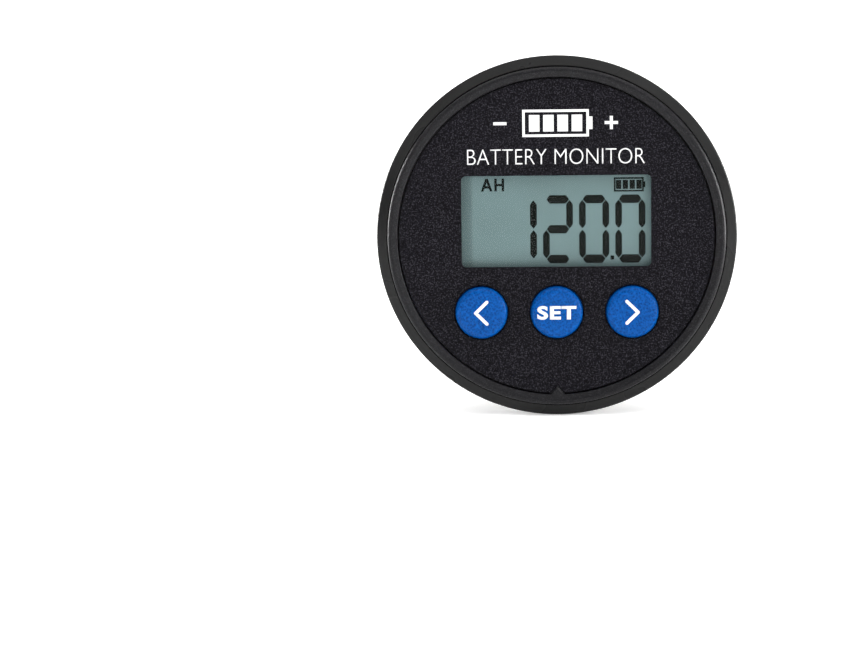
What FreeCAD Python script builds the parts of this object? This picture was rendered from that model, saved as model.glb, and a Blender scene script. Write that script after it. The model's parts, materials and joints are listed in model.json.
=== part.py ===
import FreeCAD, Part
import os
import re
import Sketcher
from FreeCAD import Vector

# Round display head of a battery monitor, held in a 52 mm hole in a panel.
# The frame: the gauge axis is Y, the face looks towards -Y, +Z is up, and the origin is on the
# axis where the gasket meets the panel. A "height" is in front of that seat, a "depth" is behind.

DIMENSIONS = {
    # trim bezel
    "bezel_radius": 30.0,
    "bezel_bore_radius": 28.16,
    "bezel_inner_height": 7.6,
    "bezel_rim_height": 6.6,
    "bezel_back_height": 0.2,
    "bezel_lip_radius": 28.8,
    "bezel_lip_thickness": 0.4,
    "bezel_round": 0.35,
    "bezel_edge_round": 0.15,
    # front ring
    "ring_radius": 28.1,
    "ring_bore_radius": 26.4,
    "crest_radius": 27.28,
    "crest_height": 8.6,
    "lip_height": 8.2,
    "ring_round": 0.65,
    "crest_round": 0.65,
    "ring_lip_round": 0.22,
    "ledge_bore_radius": 25.0,
    "ledge_thickness": 0.8,
    "skirt_bore_radius": 26.75,
    "snap_height": 3.85,
    "snap_half_width": 0.3,
    "snap_reach": 0.25,
    "snap_clearance": 0.1,
    "key_width": 2.94,
    "key_length": 1.53,
    "key_height": 8.2,
    "key_root": 0.25,
    "key_gap": 0.12,
    "key_chamfer": 0.29,
    # face plate
    "face_radius": 26.15,
    "face_height": 7.9,
    "face_thickness": 1.5,
    "face_chamfer": 0.12,
    "window_width": 31.5,
    "window_height": 15.2,
    "window_corner": 0.75,
    "window_z": 2.55,
    # display
    "lens_thickness": 0.8,
    "lens_margin": 1.0,
    "lens_gap": 0.1,
    "glass_width": 34.6,
    "glass_thickness": 0.7,
    "glass_margin": 1.05,
    "ledge_width": 1.9,
    "polariser_thickness": 0.2,
    "polariser_margin": 0.7,
    "display_front_height": 5.8,
    "light_guide_thickness": 2.2,
    "light_guide_margin": 0.5,
    "light_guide_left_margin": 1.6,
    "reflector_thickness": 0.2,
    "holder_wall": 0.6,
    "holder_lip": 0.45,
    "holder_height": 6.35,
    "holder_corner": 0.6,
    "holder_opening_margin": 0.45,
    "contact_strip_length": 33.0,
    "contact_strip_width": 1.5,
    "led_length": 2.8,
    "led_width": 1.2,
    "led_pitch": 4.6,
    # buttons
    "button_pitch": 12.55,
    "button_drop": 12.6,
    "button_radius": 4.33,
    "button_gap": 0.15,
    "button_proud": 1.1,
    "button_round": 0.95,
    "button_flange_radius": 4.9,
    "button_flange_thickness": 0.5,
    "button_hollow_radius": 3.4,
    "button_top_thickness": 1.0,
    "button_stem_radius": 1.5,
    "button_play": 0.02,
    # switches
    "switch_width": 6.0,
    "switch_base_height": 3.0,
    "switch_cover_thickness": 0.3,
    "switch_total_height": 4.3,
    "switch_bore_radius": 2.6,
    "switch_bore_floor": 0.8,
    "switch_cover_bore_radius": 1.9,
    "plunger_radius": 1.7,
    "plunger_flange_radius": 2.4,
    "plunger_flange_thickness": 0.6,
    "switch_terminal_width": 0.7,
    "switch_terminal_reach": 1.1,
    "switch_terminal_spread": 4.5,
    # housing
    "spigot_radius": 26.6,
    "spigot_height": 4.7,
    "flange_radius": 29.0,
    "flange_height": 3.0,
    "gasket_thickness": 1.0,
    "gasket_radius": 28.6,
    "gasket_bore_radius": 25.9,
    "gasket_groove_radius": 25.3,
    "pilot_radius": 25.8,
    "pilot_depth": 2.5,
    "bore_radius": 23.3,
    "barrel_depth": 18.0,
    "barrel_chamfer": 0.5,
    "cover_seat_depth": 15.2,
    "cover_bore_radius": 23.9,
    "seal_bore_radius": 25.2,
    "seal_radius": 26.2,
    # clearance between pieces that are fitted together
    "fit_gap": 0.05,
    # thread between the barrel and its nut
    "thread_pitch": 3.0,
    "thread_root_radius": 24.75,
    "thread_crest_radius": 25.65,
    "thread_root_width": 1.6,
    "thread_crest_width": 0.8,
    "thread_turns": 3.8,
    "thread_overlap": 0.2,
    # bosses that carry the board and the rear cover
    "boss_radius": 2.2,
    "boss_depth": 13.2,
    "upper_boss_x": 10.0,
    "upper_boss_z": 18.8,
    "lower_boss_x": 6.6,
    "lower_boss_z": 20.25,
    "screw_radius": 0.95,
    "screw_hole_radius": 1.0,
    "screw_clearance_radius": 1.15,
    "screw_head_radius": 1.85,
    "screw_head_height": 1.1,
    "screw_head_round": 0.35,
    "screw_bite": 5.0,
    "screw_hole_length": 5.6,
    "recess_length": 1.9,
    "recess_width": 0.45,
    "recess_depth": 0.7,
    # board
    "board_radius": 23.0,
    "board_thickness": 1.6,
    "board_front_height": 1.5,
    # data socket on the back of the board
    "socket_width": 12.4,
    "socket_height": 11.2,
    "socket_end_depth": 17.6,
    "mouth_width": 9.8,
    "mouth_height": 6.9,
    "mouth_z": -0.75,
    "mouth_length": 12.2,
    "latch_width": 6.0,
    "latch_height": 1.3,
    "latch_slot_width": 3.4,
    "latch_slot_height": 0.9,
    "contact_pitch": 1.02,
    "contact_count": 6,
    "contact_width": 0.45,
    "contact_thickness": 0.35,
    "contact_floor_z": -5.25,
    "contact_end_gap": 0.1,
    "contact_tip_depth": 7.2,
    "contact_tip_z": -1.9,
    "trough_end_wall": 0.7,
    "socket_chamfer": 0.3,
    # rear cover
    "cover_radius": 23.8,
    "cover_thickness": 2.0,
    "cover_gap": 0.15,
    "cover_spigot_radius": 23.2,
    "cover_spigot_bore_radius": 22.0,
    "cover_spigot_length": 1.8,
    "cover_seal_groove_radius": 22.5,
    "cover_seal_width": 1.0,
    "cover_seal_depth": 14.4,
    "cover_pad_radius": 1.9,
    "cover_head_radius": 2.0,
    "cover_head_depth": 1.2,
    "cover_chamfer": 0.3,
    # clamp washer and ring nut
    "panel_gap": 4.5,
    "washer_thickness": 1.0,
    "washer_radius": 29.2,
    "washer_bore_radius": 26.0,
    "washer_chamfer": 0.2,
    "nut_radius": 29.4,
    "nut_thickness": 8.0,
    "nut_gap": 0.05,
    "nut_root_radius": 25.9,
    "nut_crest_radius": 25.0,
    "nut_root_width": 1.7,
    "nut_crest_width": 0.9,
    "nut_thread_depth": 6.6,
    "nut_thread_turns": 1.8,
    "nut_shoulder": 1.6,
    "flute_count": 24,
    "flute_radius": 2.5,
    "flute_bite": 0.7,
    "nut_chamfer": 0.5,
    # parts on the back of the board
    "chip_width": 7.0,
    "chip_thickness": 1.4,
    "chip_standoff": 0.1,
    "chip_chamfer": 0.4,
    "chip_lead_pitch": 0.8,
    "chip_leads_per_side": 8,
    "chip_lead_reach": 1.0,
    "lead_thickness": 0.2,
    "lead_width": 0.35,
    "lead_rise": 0.6,
    "chip_x": 14.0,
    "chip_z": 6.0,
    "transceiver_width": 3.9,
    "transceiver_length": 4.9,
    "transceiver_thickness": 1.5,
    "transceiver_lead_pitch": 1.27,
    "transceiver_leads_per_side": 4,
    "transceiver_x": 13.0,
    "transceiver_z": -6.5,
    "regulator_width": 6.5,
    "regulator_length": 3.5,
    "regulator_thickness": 1.6,
    "regulator_lead_pitch": 2.3,
    "regulator_lead_count": 3,
    "regulator_tab_width": 3.0,
    "regulator_x": -13.5,
    "regulator_z": 8.5,
    "crystal_length": 9.0,
    "crystal_width": 3.8,
    "crystal_height": 3.4,
    "crystal_round": 1.8,
    "crystal_x": 0.0,
    "crystal_z": 13.0,
    "capacitor_radius": 2.5,
    "capacitor_height": 5.4,
    "capacitor_base": 0.8,
    "capacitor_base_width": 5.4,
    "capacitor_round": 0.4,
    "capacitor_x": -14.5,
    "capacitor_upper_z": 0.8,
    "capacitor_lower_z": -6.2,
    "resistor_length": 2.0,
    "resistor_width": 1.25,
    "resistor_height": 0.5,
    "resistor_pitch": 2.1,
    "resistor_count": 8,
    "resistor_z": -12.0,
}

# Formulas that several pieces share, written with the names above.
FACE_BACK = "(face_height - face_thickness)"
LENS_FRONT = f"({FACE_BACK} + lens_thickness)"
GLASS_FRONT = "(display_front_height - polariser_thickness)"
GLASS_MIDDLE = f"({GLASS_FRONT} - glass_thickness)"
GLASS_BACK = f"({GLASS_MIDDLE} - glass_thickness)"
GUIDE_FRONT = f"({GLASS_BACK} - polariser_thickness)"
REFLECTOR_FRONT = "(board_front_height + reflector_thickness)"
GLASS_LEFT = "(-glass_width / 2)"
GLASS_RIGHT = "(glass_width / 2)"
GLASS_BOTTOM = "(window_z - window_height / 2 - glass_margin)"
REAR_GLASS_TOP = "(window_z + window_height / 2 + glass_margin)"
FRONT_GLASS_TOP = f"({REAR_GLASS_TOP} + ledge_width)"
BOARD_BACK = "(board_front_height - board_thickness)"
BUTTON_FRONT = "(face_height + button_proud)"
BUTTON_BACK = "(board_front_height + switch_total_height)"
FLANGE_FRONT = f"({FACE_BACK} - fit_gap)"
SWITCH_TOP = "(board_front_height + switch_base_height)"
COVER_BACK = "(cover_seat_depth + cover_thickness)"
WASHER_BACK = "(panel_gap + washer_thickness)"
NUT_FRONT = f"({WASHER_BACK} + nut_gap)"
NUT_BACK = f"({NUT_FRONT} + nut_thickness)"
BUTTON_PLACES = {"left": "-button_pitch", "set": "0", "right": "button_pitch"}
BOSS_PLACES = [
    ("upper_boss_x", "upper_boss_z"),
    ("-upper_boss_x", "upper_boss_z"),
    ("lower_boss_x", "-lower_boss_z"),
    ("-lower_boss_x", "-lower_boss_z"),
]

# Two lengths closer than this are the same, in mm, and an upright edge is longer than SHORT.
NEAR = 1e-3
SHORT = 1.0

doc = FreeCAD.newDocument("battery_monitor_head")
sheet = doc.addObject("Spreadsheet::Sheet", "Dims")
for row, (alias, number) in enumerate(DIMENSIONS.items(), start=1):
    sheet.set(f"A{row}", alias.replace("_", " "))
    sheet.set(f"B{row}", str(number))
    sheet.setAlias(f"B{row}", alias)
doc.recompute()


def formula(text):
    """A sheet formula: every dimension's name gets the sheet's name in front."""
    return re.sub(r"[a-z_]+", lambda m: f"Dims.{m[0]}" if m[0] in DIMENSIONS else m[0], str(text))


def value(text):
    return float(sheet.evalExpression(formula(text)))


def bind(item, property_name, text):
    item.setExpression(property_name, formula(text))


def origin_plane(body, role):
    return next(f for f in body.Origin.OriginFeatures if f.Role == role)


def new_piece(name):
    """A sub-part: its label is also the name of its node."""
    body = doc.addObject("PartDesign::Body", name)
    body.Label = name
    return body


def new_sketch(body, role):
    sketch = body.newObject("Sketcher::SketchObject", body.Name + "_sketch")
    sketch.AttachmentSupport = [(origin_plane(body, role), "")]
    sketch.MapMode = "FlatFace"
    return sketch


def face_sketch(body, height):
    """A sketch seen from the front, X to the right and Z up, at a height before the seat."""
    sketch = new_sketch(body, "XZ_Plane")
    bind(sketch, "AttachmentOffset.Base.z", height)
    return sketch


def fix(sketch, kind, where, text):
    """One dimension of a sketch, bound to a sheet formula."""
    index = sketch.addConstraint(Sketcher.Constraint(kind, *where, value(text)))
    name = f"{kind}_{index}"
    sketch.renameConstraint(index, name)
    bind(sketch, f"Constraints.{name}", text)


def chain(sketch, corners):
    """A closed outline of straight edges through corners given as pairs of formulas."""
    points = [Vector(value(u), value(v), 0) for u, v in corners]
    first = sketch.GeometryCount
    count = len(points)
    for i in range(count):
        sketch.addGeometry(Part.LineSegment(points[i], points[(i + 1) % count]), False)
    for i in range(count):
        ends = (first + i, 2, first + (i + 1) % count, 1)
        sketch.addConstraint(Sketcher.Constraint("Coincident", *ends))
        fix(sketch, "DistanceX", (first + i, 1), corners[i][0])
        fix(sketch, "DistanceY", (first + i, 1), corners[i][1])


def disc(sketch, x, z, radius):
    circle = Part.Circle(Vector(value(x), value(z), 0), Vector(0, 0, 1), value(radius))
    index = sketch.addGeometry(circle, False)
    fix(sketch, "Radius", (index,), radius)
    fix(sketch, "DistanceX", (index, 3), x)
    fix(sketch, "DistanceY", (index, 3), z)


def block(sketch, left, bottom, right, top):
    chain(sketch, [(left, bottom), (right, bottom), (right, top), (left, top)])


def centred(sketch, x, z, width, height):
    half_width = f"({width}) / 2"
    half_height = f"({height}) / 2"
    block(
        sketch,
        f"{x} - {half_width}",
        f"{z} - {half_height}",
        f"{x} + {half_width}",
        f"{z} + {half_height}",
    )


def pad(body, sketch, thickness):
    """Material from the sketch forward, towards -Y."""
    feature = body.newObject("PartDesign::Pad", body.Name + "_pad")
    feature.Profile = sketch
    bind(feature, "Length", thickness)
    sketch.Visibility = False
    doc.recompute()
    return feature


def pocket(body, sketch, depth):
    """Material taken away from the sketch backward, towards +Y."""
    before = body.Shape.Volume
    feature = body.newObject("PartDesign::Pocket", body.Name + "_pocket")
    feature.Profile = sketch
    bind(feature, "Length", depth)
    doc.recompute()
    if body.Shape.Volume > before - 1e-6:
        raise RuntimeError(f"{body.Name}: {feature.Name} cuts nothing")
    return feature


def pad_between(body, one_height, other_height, draw):
    """A pad that fills the space between two heights, with its outline drawn by a function."""
    back, front = sorted((one_height, other_height), key=value)
    sketch = face_sketch(body, back)
    draw(sketch)
    return pad(body, sketch, f"({front}) - ({back})")


def pocket_between(body, one_height, other_height, draw):
    """A pocket that empties the space between two heights."""
    back, front = sorted((one_height, other_height), key=value)
    sketch = face_sketch(body, front)
    draw(sketch)
    return pocket(body, sketch, f"({front}) - ({back})")


def turned(body, corners, cut=False):
    """A solid of revolution about the gauge axis: corners are (place along Y, radius)."""
    sketch = new_sketch(body, "YZ_Plane")
    chain(sketch, corners)
    kind = "PartDesign::Groove" if cut else "PartDesign::Revolution"
    feature = body.newObject(kind, body.Name + ("_groove" if cut else "_turned"))
    feature.Profile = sketch
    feature.ReferenceAxis = (sketch, ["H_Axis"])
    feature.Angle = 360
    doc.recompute()
    return feature


def ring_section(front, back, inner, outer):
    """The corners of a plain ring between two heights and two radii."""
    return [
        (f"-({front})", inner),
        (f"-({back})", inner),
        (f"-({back})", outer),
        (f"-({front})", outer),
    ]


def edges_where(shape, test):
    return [f"Edge{i}" for i, edge in enumerate(shape.Edges, start=1) if test(edge)]


def circle_at(height, radius):
    """A test for the round edges of one radius at one height."""
    y = -value(height)
    r = value(radius)

    def test(edge):
        curve = edge.Curve
        return (
            isinstance(curve, Part.Circle)
            and abs(curve.Radius - r) < NEAR
            and abs(edge.BoundBox.YMin - y) < NEAR
            and abs(edge.BoundBox.YMax - y) < NEAR
        )

    return test


def upright_corner(half_width):
    """A test for the straight edges along Y that stand at one distance from the middle."""
    def test(edge):
        box = edge.BoundBox
        along = box.YLength > NEAR and box.XLength < NEAR and box.ZLength < NEAR
        return along and abs(abs(box.XMin) - value(half_width)) < NEAR

    return test


def dress(body, kind, size, test):
    """A Fillet or Chamfer on the edges that pass a test."""
    base = body.Tip
    names = edges_where(base.Shape, test)
    if not names:
        raise RuntimeError(f"{body.Name}: no edge for the {kind}")
    feature = body.newObject(f"PartDesign::{kind}", f"{body.Name}_{kind.lower()}")
    feature.Base = (base, names)
    bind(feature, "Radius" if kind == "Fillet" else "Size", size)
    doc.recompute()
    return feature


def row_of(body, feature, axis_role, spacing, count):
    """Copies of a feature at equal steps along one of the body's axes."""
    pattern = body.newObject("PartDesign::LinearPattern", body.Name + "_row")
    pattern.Originals = [feature]
    pattern.Direction = (origin_plane(body, axis_role), [""])
    pattern.Mode = "Spacing"
    bind(pattern, "Offset", spacing)
    bind(pattern, "Occurrences", count)
    body.Tip = pattern
    doc.recompute()
    return pattern


def make_thread(body, corners, turns):
    """A right-hand ridge wound about the gauge axis."""
    sketch = new_sketch(body, "YZ_Plane")
    chain(sketch, corners)
    helix = body.newObject("PartDesign::AdditiveHelix", body.Name + "_thread")
    helix.Profile = sketch
    helix.ReferenceAxis = (sketch, ["H_Axis"])
    helix.Mode = "pitch-turns-angle"
    helix.LeftHanded = False
    helix.Reversed = False
    bind(helix, "Pitch", "thread_pitch")
    bind(helix, "Turns", turns)
    doc.recompute()


def round_turn(body, feature, count):
    """Copies of a feature at equal angles about the gauge axis."""
    pattern = body.newObject("PartDesign::PolarPattern", body.Name + "_round")
    pattern.Originals = [feature]
    pattern.Axis = (origin_plane(body, "Y_Axis"), [""])
    pattern.Angle = 360
    bind(pattern, "Occurrences", count)
    body.Tip = pattern
    doc.recompute()


def discs_at(places, radius):
    """A drawing function: one circle at each place."""
    def draw(sketch):
        for x, z in places:
            disc(sketch, x, z, radius)
    return draw


def blocks_at(places, width, height):
    """A drawing function: one rectangle centred on each place."""
    def draw(sketch):
        for x, z in places:
            centred(sketch, x, z, width, height)
    return draw


def make_screws(name, seat, head_side):
    """Four pan-head screws on the bosses: heads bear at a height, on side "+" (front) or "-"."""
    body = new_piece(name)
    shank_side = "-" if head_side == "+" else "+"
    head_end = f"({seat} {head_side} screw_head_height)"
    recess_end = f"({head_end} {shank_side} recess_depth)"
    pad_between(body, seat, head_end, discs_at(BOSS_PLACES, "screw_head_radius"))
    dress(body, "Fillet", "screw_head_round", circle_at(head_end, "screw_head_radius"))
    shank_end = f"({seat} {shank_side} screw_bite)"
    pad_between(body, seat, shank_end, discs_at(BOSS_PLACES, "screw_radius"))
    across = blocks_at(BOSS_PLACES, "recess_length", "recess_width")
    upright = blocks_at(BOSS_PLACES, "recess_width", "recess_length")
    pocket_between(body, head_end, recess_end, across)
    pocket_between(body, head_end, recess_end, upright)


# The case


def make_housing():
    """The threaded barrel that goes through the panel, with its flange and front spigot."""
    body = new_piece("housing")
    turned(body, [
        ("-spigot_height", "bore_radius"),
        ("cover_seat_depth", "bore_radius"),
        ("cover_seat_depth", "cover_bore_radius"),
        ("barrel_depth", "cover_bore_radius"),
        ("barrel_depth", "thread_root_radius"),
        ("pilot_depth", "thread_root_radius"),
        ("pilot_depth", "pilot_radius"),
        ("0", "pilot_radius"),
        ("0", "gasket_groove_radius"),
        ("-gasket_thickness", "gasket_groove_radius"),
        ("-gasket_thickness", "flange_radius"),
        ("-flange_height", "flange_radius"),
        ("-flange_height", "spigot_radius"),
        ("-spigot_height", "spigot_radius"),
    ])
    groove_half = "(snap_half_width + snap_clearance)"
    groove_radius = "(spigot_radius - snap_reach)"
    front = f"(snap_height + {groove_half})"
    back = f"(snap_height - {groove_half})"
    turned(body, ring_section(front, back, groove_radius, "(spigot_radius + thread_overlap)"), cut=True)
    dress(body, "Chamfer", "barrel_chamfer", circle_at("-barrel_depth", "thread_root_radius"))
    pad_between(body, BOARD_BACK, "-boss_depth", discs_at(BOSS_PLACES, "boss_radius"))
    holes = discs_at(BOSS_PLACES, "screw_hole_radius")
    pocket_between(body, BOARD_BACK, f"({BOARD_BACK} - screw_hole_length)", holes)
    pocket_between(body, "-boss_depth", "(screw_hole_length - boss_depth)", holes)
    start = "(nut_thread_depth - thread_pitch / 2)"
    make_thread(body, [
        (f"{start} - thread_root_width / 2", "thread_root_radius - thread_overlap"),
        (f"{start} - thread_crest_width / 2", "thread_crest_radius"),
        (f"{start} + thread_crest_width / 2", "thread_crest_radius"),
        (f"{start} + thread_root_width / 2", "thread_root_radius - thread_overlap"),
    ], "thread_turns")


def make_trim_bezel():
    """The outer ring, which snaps over the flange and hides the gasket's edge."""
    body = new_piece("trim_bezel")
    lip_front = "(gasket_thickness - fit_gap)"
    turned(body, [
        ("-bezel_inner_height", "bezel_bore_radius"),
        ("-(flange_height + fit_gap)", "bezel_bore_radius"),
        ("-(flange_height + fit_gap)", "flange_radius + fit_gap"),
        (f"-{lip_front}", "flange_radius + fit_gap"),
        (f"-{lip_front}", "bezel_lip_radius"),
        (f"-({lip_front} - bezel_lip_thickness)", "bezel_lip_radius"),
        ("-bezel_back_height", "flange_radius + fit_gap"),
        ("-bezel_back_height", "bezel_radius"),
        ("-bezel_rim_height", "bezel_radius"),
    ])
    dress(body, "Fillet", "bezel_round", circle_at("bezel_rim_height", "bezel_radius"))
    dress(body, "Fillet", "bezel_edge_round", circle_at("bezel_inner_height", "bezel_bore_radius"))
    dress(body, "Fillet", "bezel_edge_round", circle_at("bezel_back_height", "bezel_radius"))


def key_outline(gap):
    """The corners of the small triangular key at the bottom of the front ring."""
    half = f"(key_width / 2 + {gap})"
    foot = "-(ring_bore_radius + key_root)"
    return [(f"-{half}", foot), (half, foot), ("0", f"-(ring_bore_radius - key_length - {gap})")]


def make_front_ring():
    """The ring round the face plate, with a ledge behind it and a snap bead on its skirt."""
    body = new_piece("front_ring")
    ledge_back = f"({FACE_BACK} - ledge_thickness)"
    skirt_back = "(flange_height + fit_gap)"
    turned(body, [
        ("-lip_height", "ring_bore_radius"),
        (f"-{FACE_BACK}", "ring_bore_radius"),
        (f"-{FACE_BACK}", "ledge_bore_radius"),
        (f"-{ledge_back}", "ledge_bore_radius"),
        (f"-{ledge_back}", "skirt_bore_radius"),
        ("-(snap_height + snap_half_width)", "skirt_bore_radius"),
        ("-snap_height", "skirt_bore_radius - snap_reach"),
        ("-(snap_height - snap_half_width)", "skirt_bore_radius"),
        (f"-{skirt_back}", "skirt_bore_radius"),
        (f"-{skirt_back}", "ring_radius"),
        ("-crest_height", "ring_radius"),
        ("-crest_height", "crest_radius"),
    ])
    dress(body, "Fillet", "ring_round", circle_at("crest_height", "ring_radius"))
    dress(body, "Fillet", "crest_round", circle_at("crest_height", "crest_radius"))
    dress(body, "Fillet", "ring_lip_round", circle_at("lip_height", "ring_bore_radius"))
    pad_between(body, FACE_BACK, "key_height", lambda sketch: chain(sketch, key_outline("0")))

    def key_flank(edge):
        box = edge.BoundBox
        level = abs(box.YMin + value("key_height")) < NEAR and box.YLength < NEAR
        small = box.ZMax < -value("face_radius - key_length - 1") and box.XLength < value("key_width")
        return level and small and box.ZLength > value("key_length / 2")

    dress(body, "Chamfer", "key_chamfer", key_flank)


def make_face_plate():
    """The front plate with the display window, three button holes and the key's notch."""
    body = new_piece("face_plate")
    pad_between(body, FACE_BACK, "face_height", discs_at([("0", "0")], "face_radius"))
    window = blocks_at([("0", "window_z")], "window_width", "window_height")
    pocket_between(body, FACE_BACK, "face_height", window)
    dress(body, "Fillet", "window_corner", upright_corner("window_width / 2"))
    rebate = blocks_at(
        [("0", "window_z")],
        "window_width + 2 * lens_margin",
        "window_height + 2 * lens_margin",
    )
    pocket_between(body, FACE_BACK, LENS_FRONT, rebate)
    holes = discs_at(
        [(place, "-button_drop") for place in BUTTON_PLACES.values()],
        "button_radius + button_gap",
    )
    pocket_between(body, FACE_BACK, "face_height", holes)
    notch = key_outline("key_gap")
    pocket_between(body, FACE_BACK, "face_height", lambda sketch: chain(sketch, notch))

    def front_edge(edge):
        box = edge.BoundBox
        at_front = abs(box.YMin + value("face_height")) < NEAR and box.YLength < NEAR
        return at_front and box.ZMin > -value("face_radius - key_length - 1")

    dress(body, "Chamfer", "face_chamfer", front_edge)


def make_front_seal():
    body = new_piece("front_seal")
    ledge_back = f"({FACE_BACK} - ledge_thickness)"
    turned(body, ring_section(ledge_back, "spigot_height", "seal_bore_radius", "seal_radius"))


def make_panel_gasket():
    """The flat ring whose back is the panel seat."""
    body = new_piece("panel_gasket")
    turned(body, ring_section("gasket_thickness", "0", "gasket_bore_radius", "gasket_radius"))


# The display


def make_slab(name, back, front, corners):
    """A flat rectangular piece between two heights: corners are left, bottom, right, top."""
    body = new_piece(name)
    pad_between(body, back, front, lambda sketch: block(sketch, *corners))
    return body


def make_display():
    window_rectangle = "window_width + 2 * {m}", "window_height + 2 * {m}"
    lens = new_piece("display_lens")
    lens_size = [part.format(m="(lens_margin - lens_gap)") for part in window_rectangle]
    pad_between(lens, FACE_BACK, LENS_FRONT, blocks_at([("0", "window_z")], *lens_size))
    dress(lens, "Fillet", "window_corner", upright_corner(f"({lens_size[0]}) / 2"))

    film_size = [part.format(m="polariser_margin") for part in window_rectangle]
    for name, back, front in (
        ("front_polariser", GLASS_FRONT, "display_front_height"),
        ("rear_polariser", GUIDE_FRONT, GLASS_BACK),
    ):
        film = new_piece(name)
        pad_between(film, back, front, blocks_at([("0", "window_z")], *film_size))

    front_glass = (GLASS_LEFT, GLASS_BOTTOM, GLASS_RIGHT, FRONT_GLASS_TOP)
    rear_glass = (GLASS_LEFT, GLASS_BOTTOM, GLASS_RIGHT, REAR_GLASS_TOP)
    make_slab("front_glass", GLASS_MIDDLE, GLASS_FRONT, front_glass)
    make_slab("rear_glass", GLASS_BACK, GLASS_MIDDLE, rear_glass)

    guide = (
        f"{GLASS_LEFT} + light_guide_left_margin",
        f"{GLASS_BOTTOM} + light_guide_margin",
        f"{GLASS_RIGHT} - light_guide_margin",
        f"{REAR_GLASS_TOP} - light_guide_margin",
    )
    guide_front = f"({REFLECTOR_FRONT} + light_guide_thickness)"
    make_slab("light_guide", REFLECTOR_FRONT, guide_front, guide)
    make_slab("reflector", "board_front_height", REFLECTOR_FRONT, guide)

    strip_bottom = f"({REAR_GLASS_TOP} + fit_gap)"
    strip = (
        "-contact_strip_length / 2",
        strip_bottom,
        "contact_strip_length / 2",
        f"{strip_bottom} + contact_strip_width",
    )
    make_slab("contact_strip", "board_front_height", GLASS_MIDDLE, strip)

    leds = new_piece("backlight_leds")
    led_x = f"({GLASS_LEFT} + lens_gap + led_width / 2)"
    places = [(led_x, f"window_z + {step} * led_pitch") for step in (-1, 0, 1)]
    led_front = "(board_front_height + led_width)"
    pad_between(leds, "board_front_height", led_front, blocks_at(places, "led_width", "led_length"))


def make_display_holder():
    """The moulded frame that holds the glass and the light guide on the board."""
    body = new_piece("display_holder")
    left = f"({GLASS_LEFT} - fit_gap)"
    bottom = f"({GLASS_BOTTOM} - fit_gap)"
    right = f"({GLASS_RIGHT} + fit_gap)"
    top = f"({FRONT_GLASS_TOP} + fit_gap)"
    outer = (
        f"{left} - holder_wall",
        f"{bottom} - holder_wall",
        f"{right} + holder_wall",
        f"{top} + holder_wall",
    )
    pad_between(body, "board_front_height", "holder_height", lambda s: block(s, *outer))
    dress(body, "Fillet", "holder_corner", upright_corner("glass_width / 2 + fit_gap + holder_wall"))
    cavity = (left, bottom, right, top)
    lip_back = "(holder_height - holder_lip)"
    pocket_between(body, "board_front_height", lip_back, lambda s: block(s, *cavity))
    opening = blocks_at(
        [("0", "window_z")],
        "window_width + 2 * holder_opening_margin",
        "window_height + 2 * holder_opening_margin",
    )
    pocket_between(body, lip_back, "holder_height", opening)


# Buttons and their switches


def make_buttons():
    for side, place in BUTTON_PLACES.items():
        cap = new_piece(f"{side}_button")
        hollow_front = f"({BUTTON_FRONT} - button_top_thickness)"
        flange_back = f"({FLANGE_FRONT} - button_flange_thickness)"
        turned(cap, [
            (f"-{BUTTON_FRONT}", "0"),
            (f"-{BUTTON_FRONT}", "button_radius"),
            (f"-{FLANGE_FRONT}", "button_radius"),
            (f"-{FLANGE_FRONT}", "button_flange_radius"),
            (f"-{flange_back}", "button_flange_radius"),
            (f"-{flange_back}", "button_hollow_radius"),
            (f"-{hollow_front}", "button_hollow_radius"),
            (f"-{hollow_front}", "button_stem_radius"),
            (f"-({BUTTON_BACK} + button_play)", "button_stem_radius"),
            (f"-({BUTTON_BACK} + button_play)", "0"),
        ])
        dress(cap, "Fillet", "button_round", circle_at(BUTTON_FRONT, "button_radius"))

        plunger = new_piece(f"{side}_switch_plunger")
        flange_front = f"({SWITCH_TOP} - fit_gap)"
        flange_end = f"({flange_front} - plunger_flange_thickness)"
        turned(plunger, [
            (f"-{BUTTON_BACK}", "0"),
            (f"-{BUTTON_BACK}", "plunger_radius"),
            (f"-{flange_front}", "plunger_radius"),
            (f"-{flange_front}", "plunger_flange_radius"),
            (f"-{flange_end}", "plunger_flange_radius"),
            (f"-{flange_end}", "0"),
        ])
        for body in (cap, plunger):
            bind(body, "Placement.Base.x", place)
            bind(body, "Placement.Base.z", "-button_drop")


def make_switches():
    places = [(place, "-button_drop") for place in BUTTON_PLACES.values()]
    squares = blocks_at(places, "switch_width", "switch_width")
    cover_front = f"({SWITCH_TOP} + switch_cover_thickness)"

    bases = new_piece("switch_bases")
    pad_between(bases, "board_front_height", SWITCH_TOP, squares)
    floor = "(board_front_height + switch_bore_floor)"
    pocket_between(bases, floor, SWITCH_TOP, discs_at(places, "switch_bore_radius"))

    covers = new_piece("switch_covers")
    pad_between(covers, SWITCH_TOP, cover_front, squares)
    pocket_between(covers, SWITCH_TOP, cover_front, discs_at(places, "switch_cover_bore_radius"))

    terminals = new_piece("switch_terminals")
    reach = "(switch_width / 2 + switch_terminal_reach / 2)"
    corners = [
        (f"{x} {across} {reach}", f"{z} {up} switch_terminal_spread / 2")
        for x, z in places
        for across in "+-"
        for up in "+-"
    ]
    feet = blocks_at(corners, "switch_terminal_reach", "switch_terminal_width")
    pad_between(terminals, "board_front_height", "board_front_height + lead_thickness", feet)


# The board and what is soldered to its back


def make_main_board():
    body = new_piece("main_board")
    pad_between(body, BOARD_BACK, "board_front_height", discs_at([("0", "0")], "board_radius"))
    holes = discs_at(BOSS_PLACES, "screw_clearance_radius")
    pocket_between(body, BOARD_BACK, "board_front_height", holes)


def below_board(distance):
    """A height that is a distance behind the back of the board."""
    return f"({BOARD_BACK} - ({distance}))"


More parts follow.
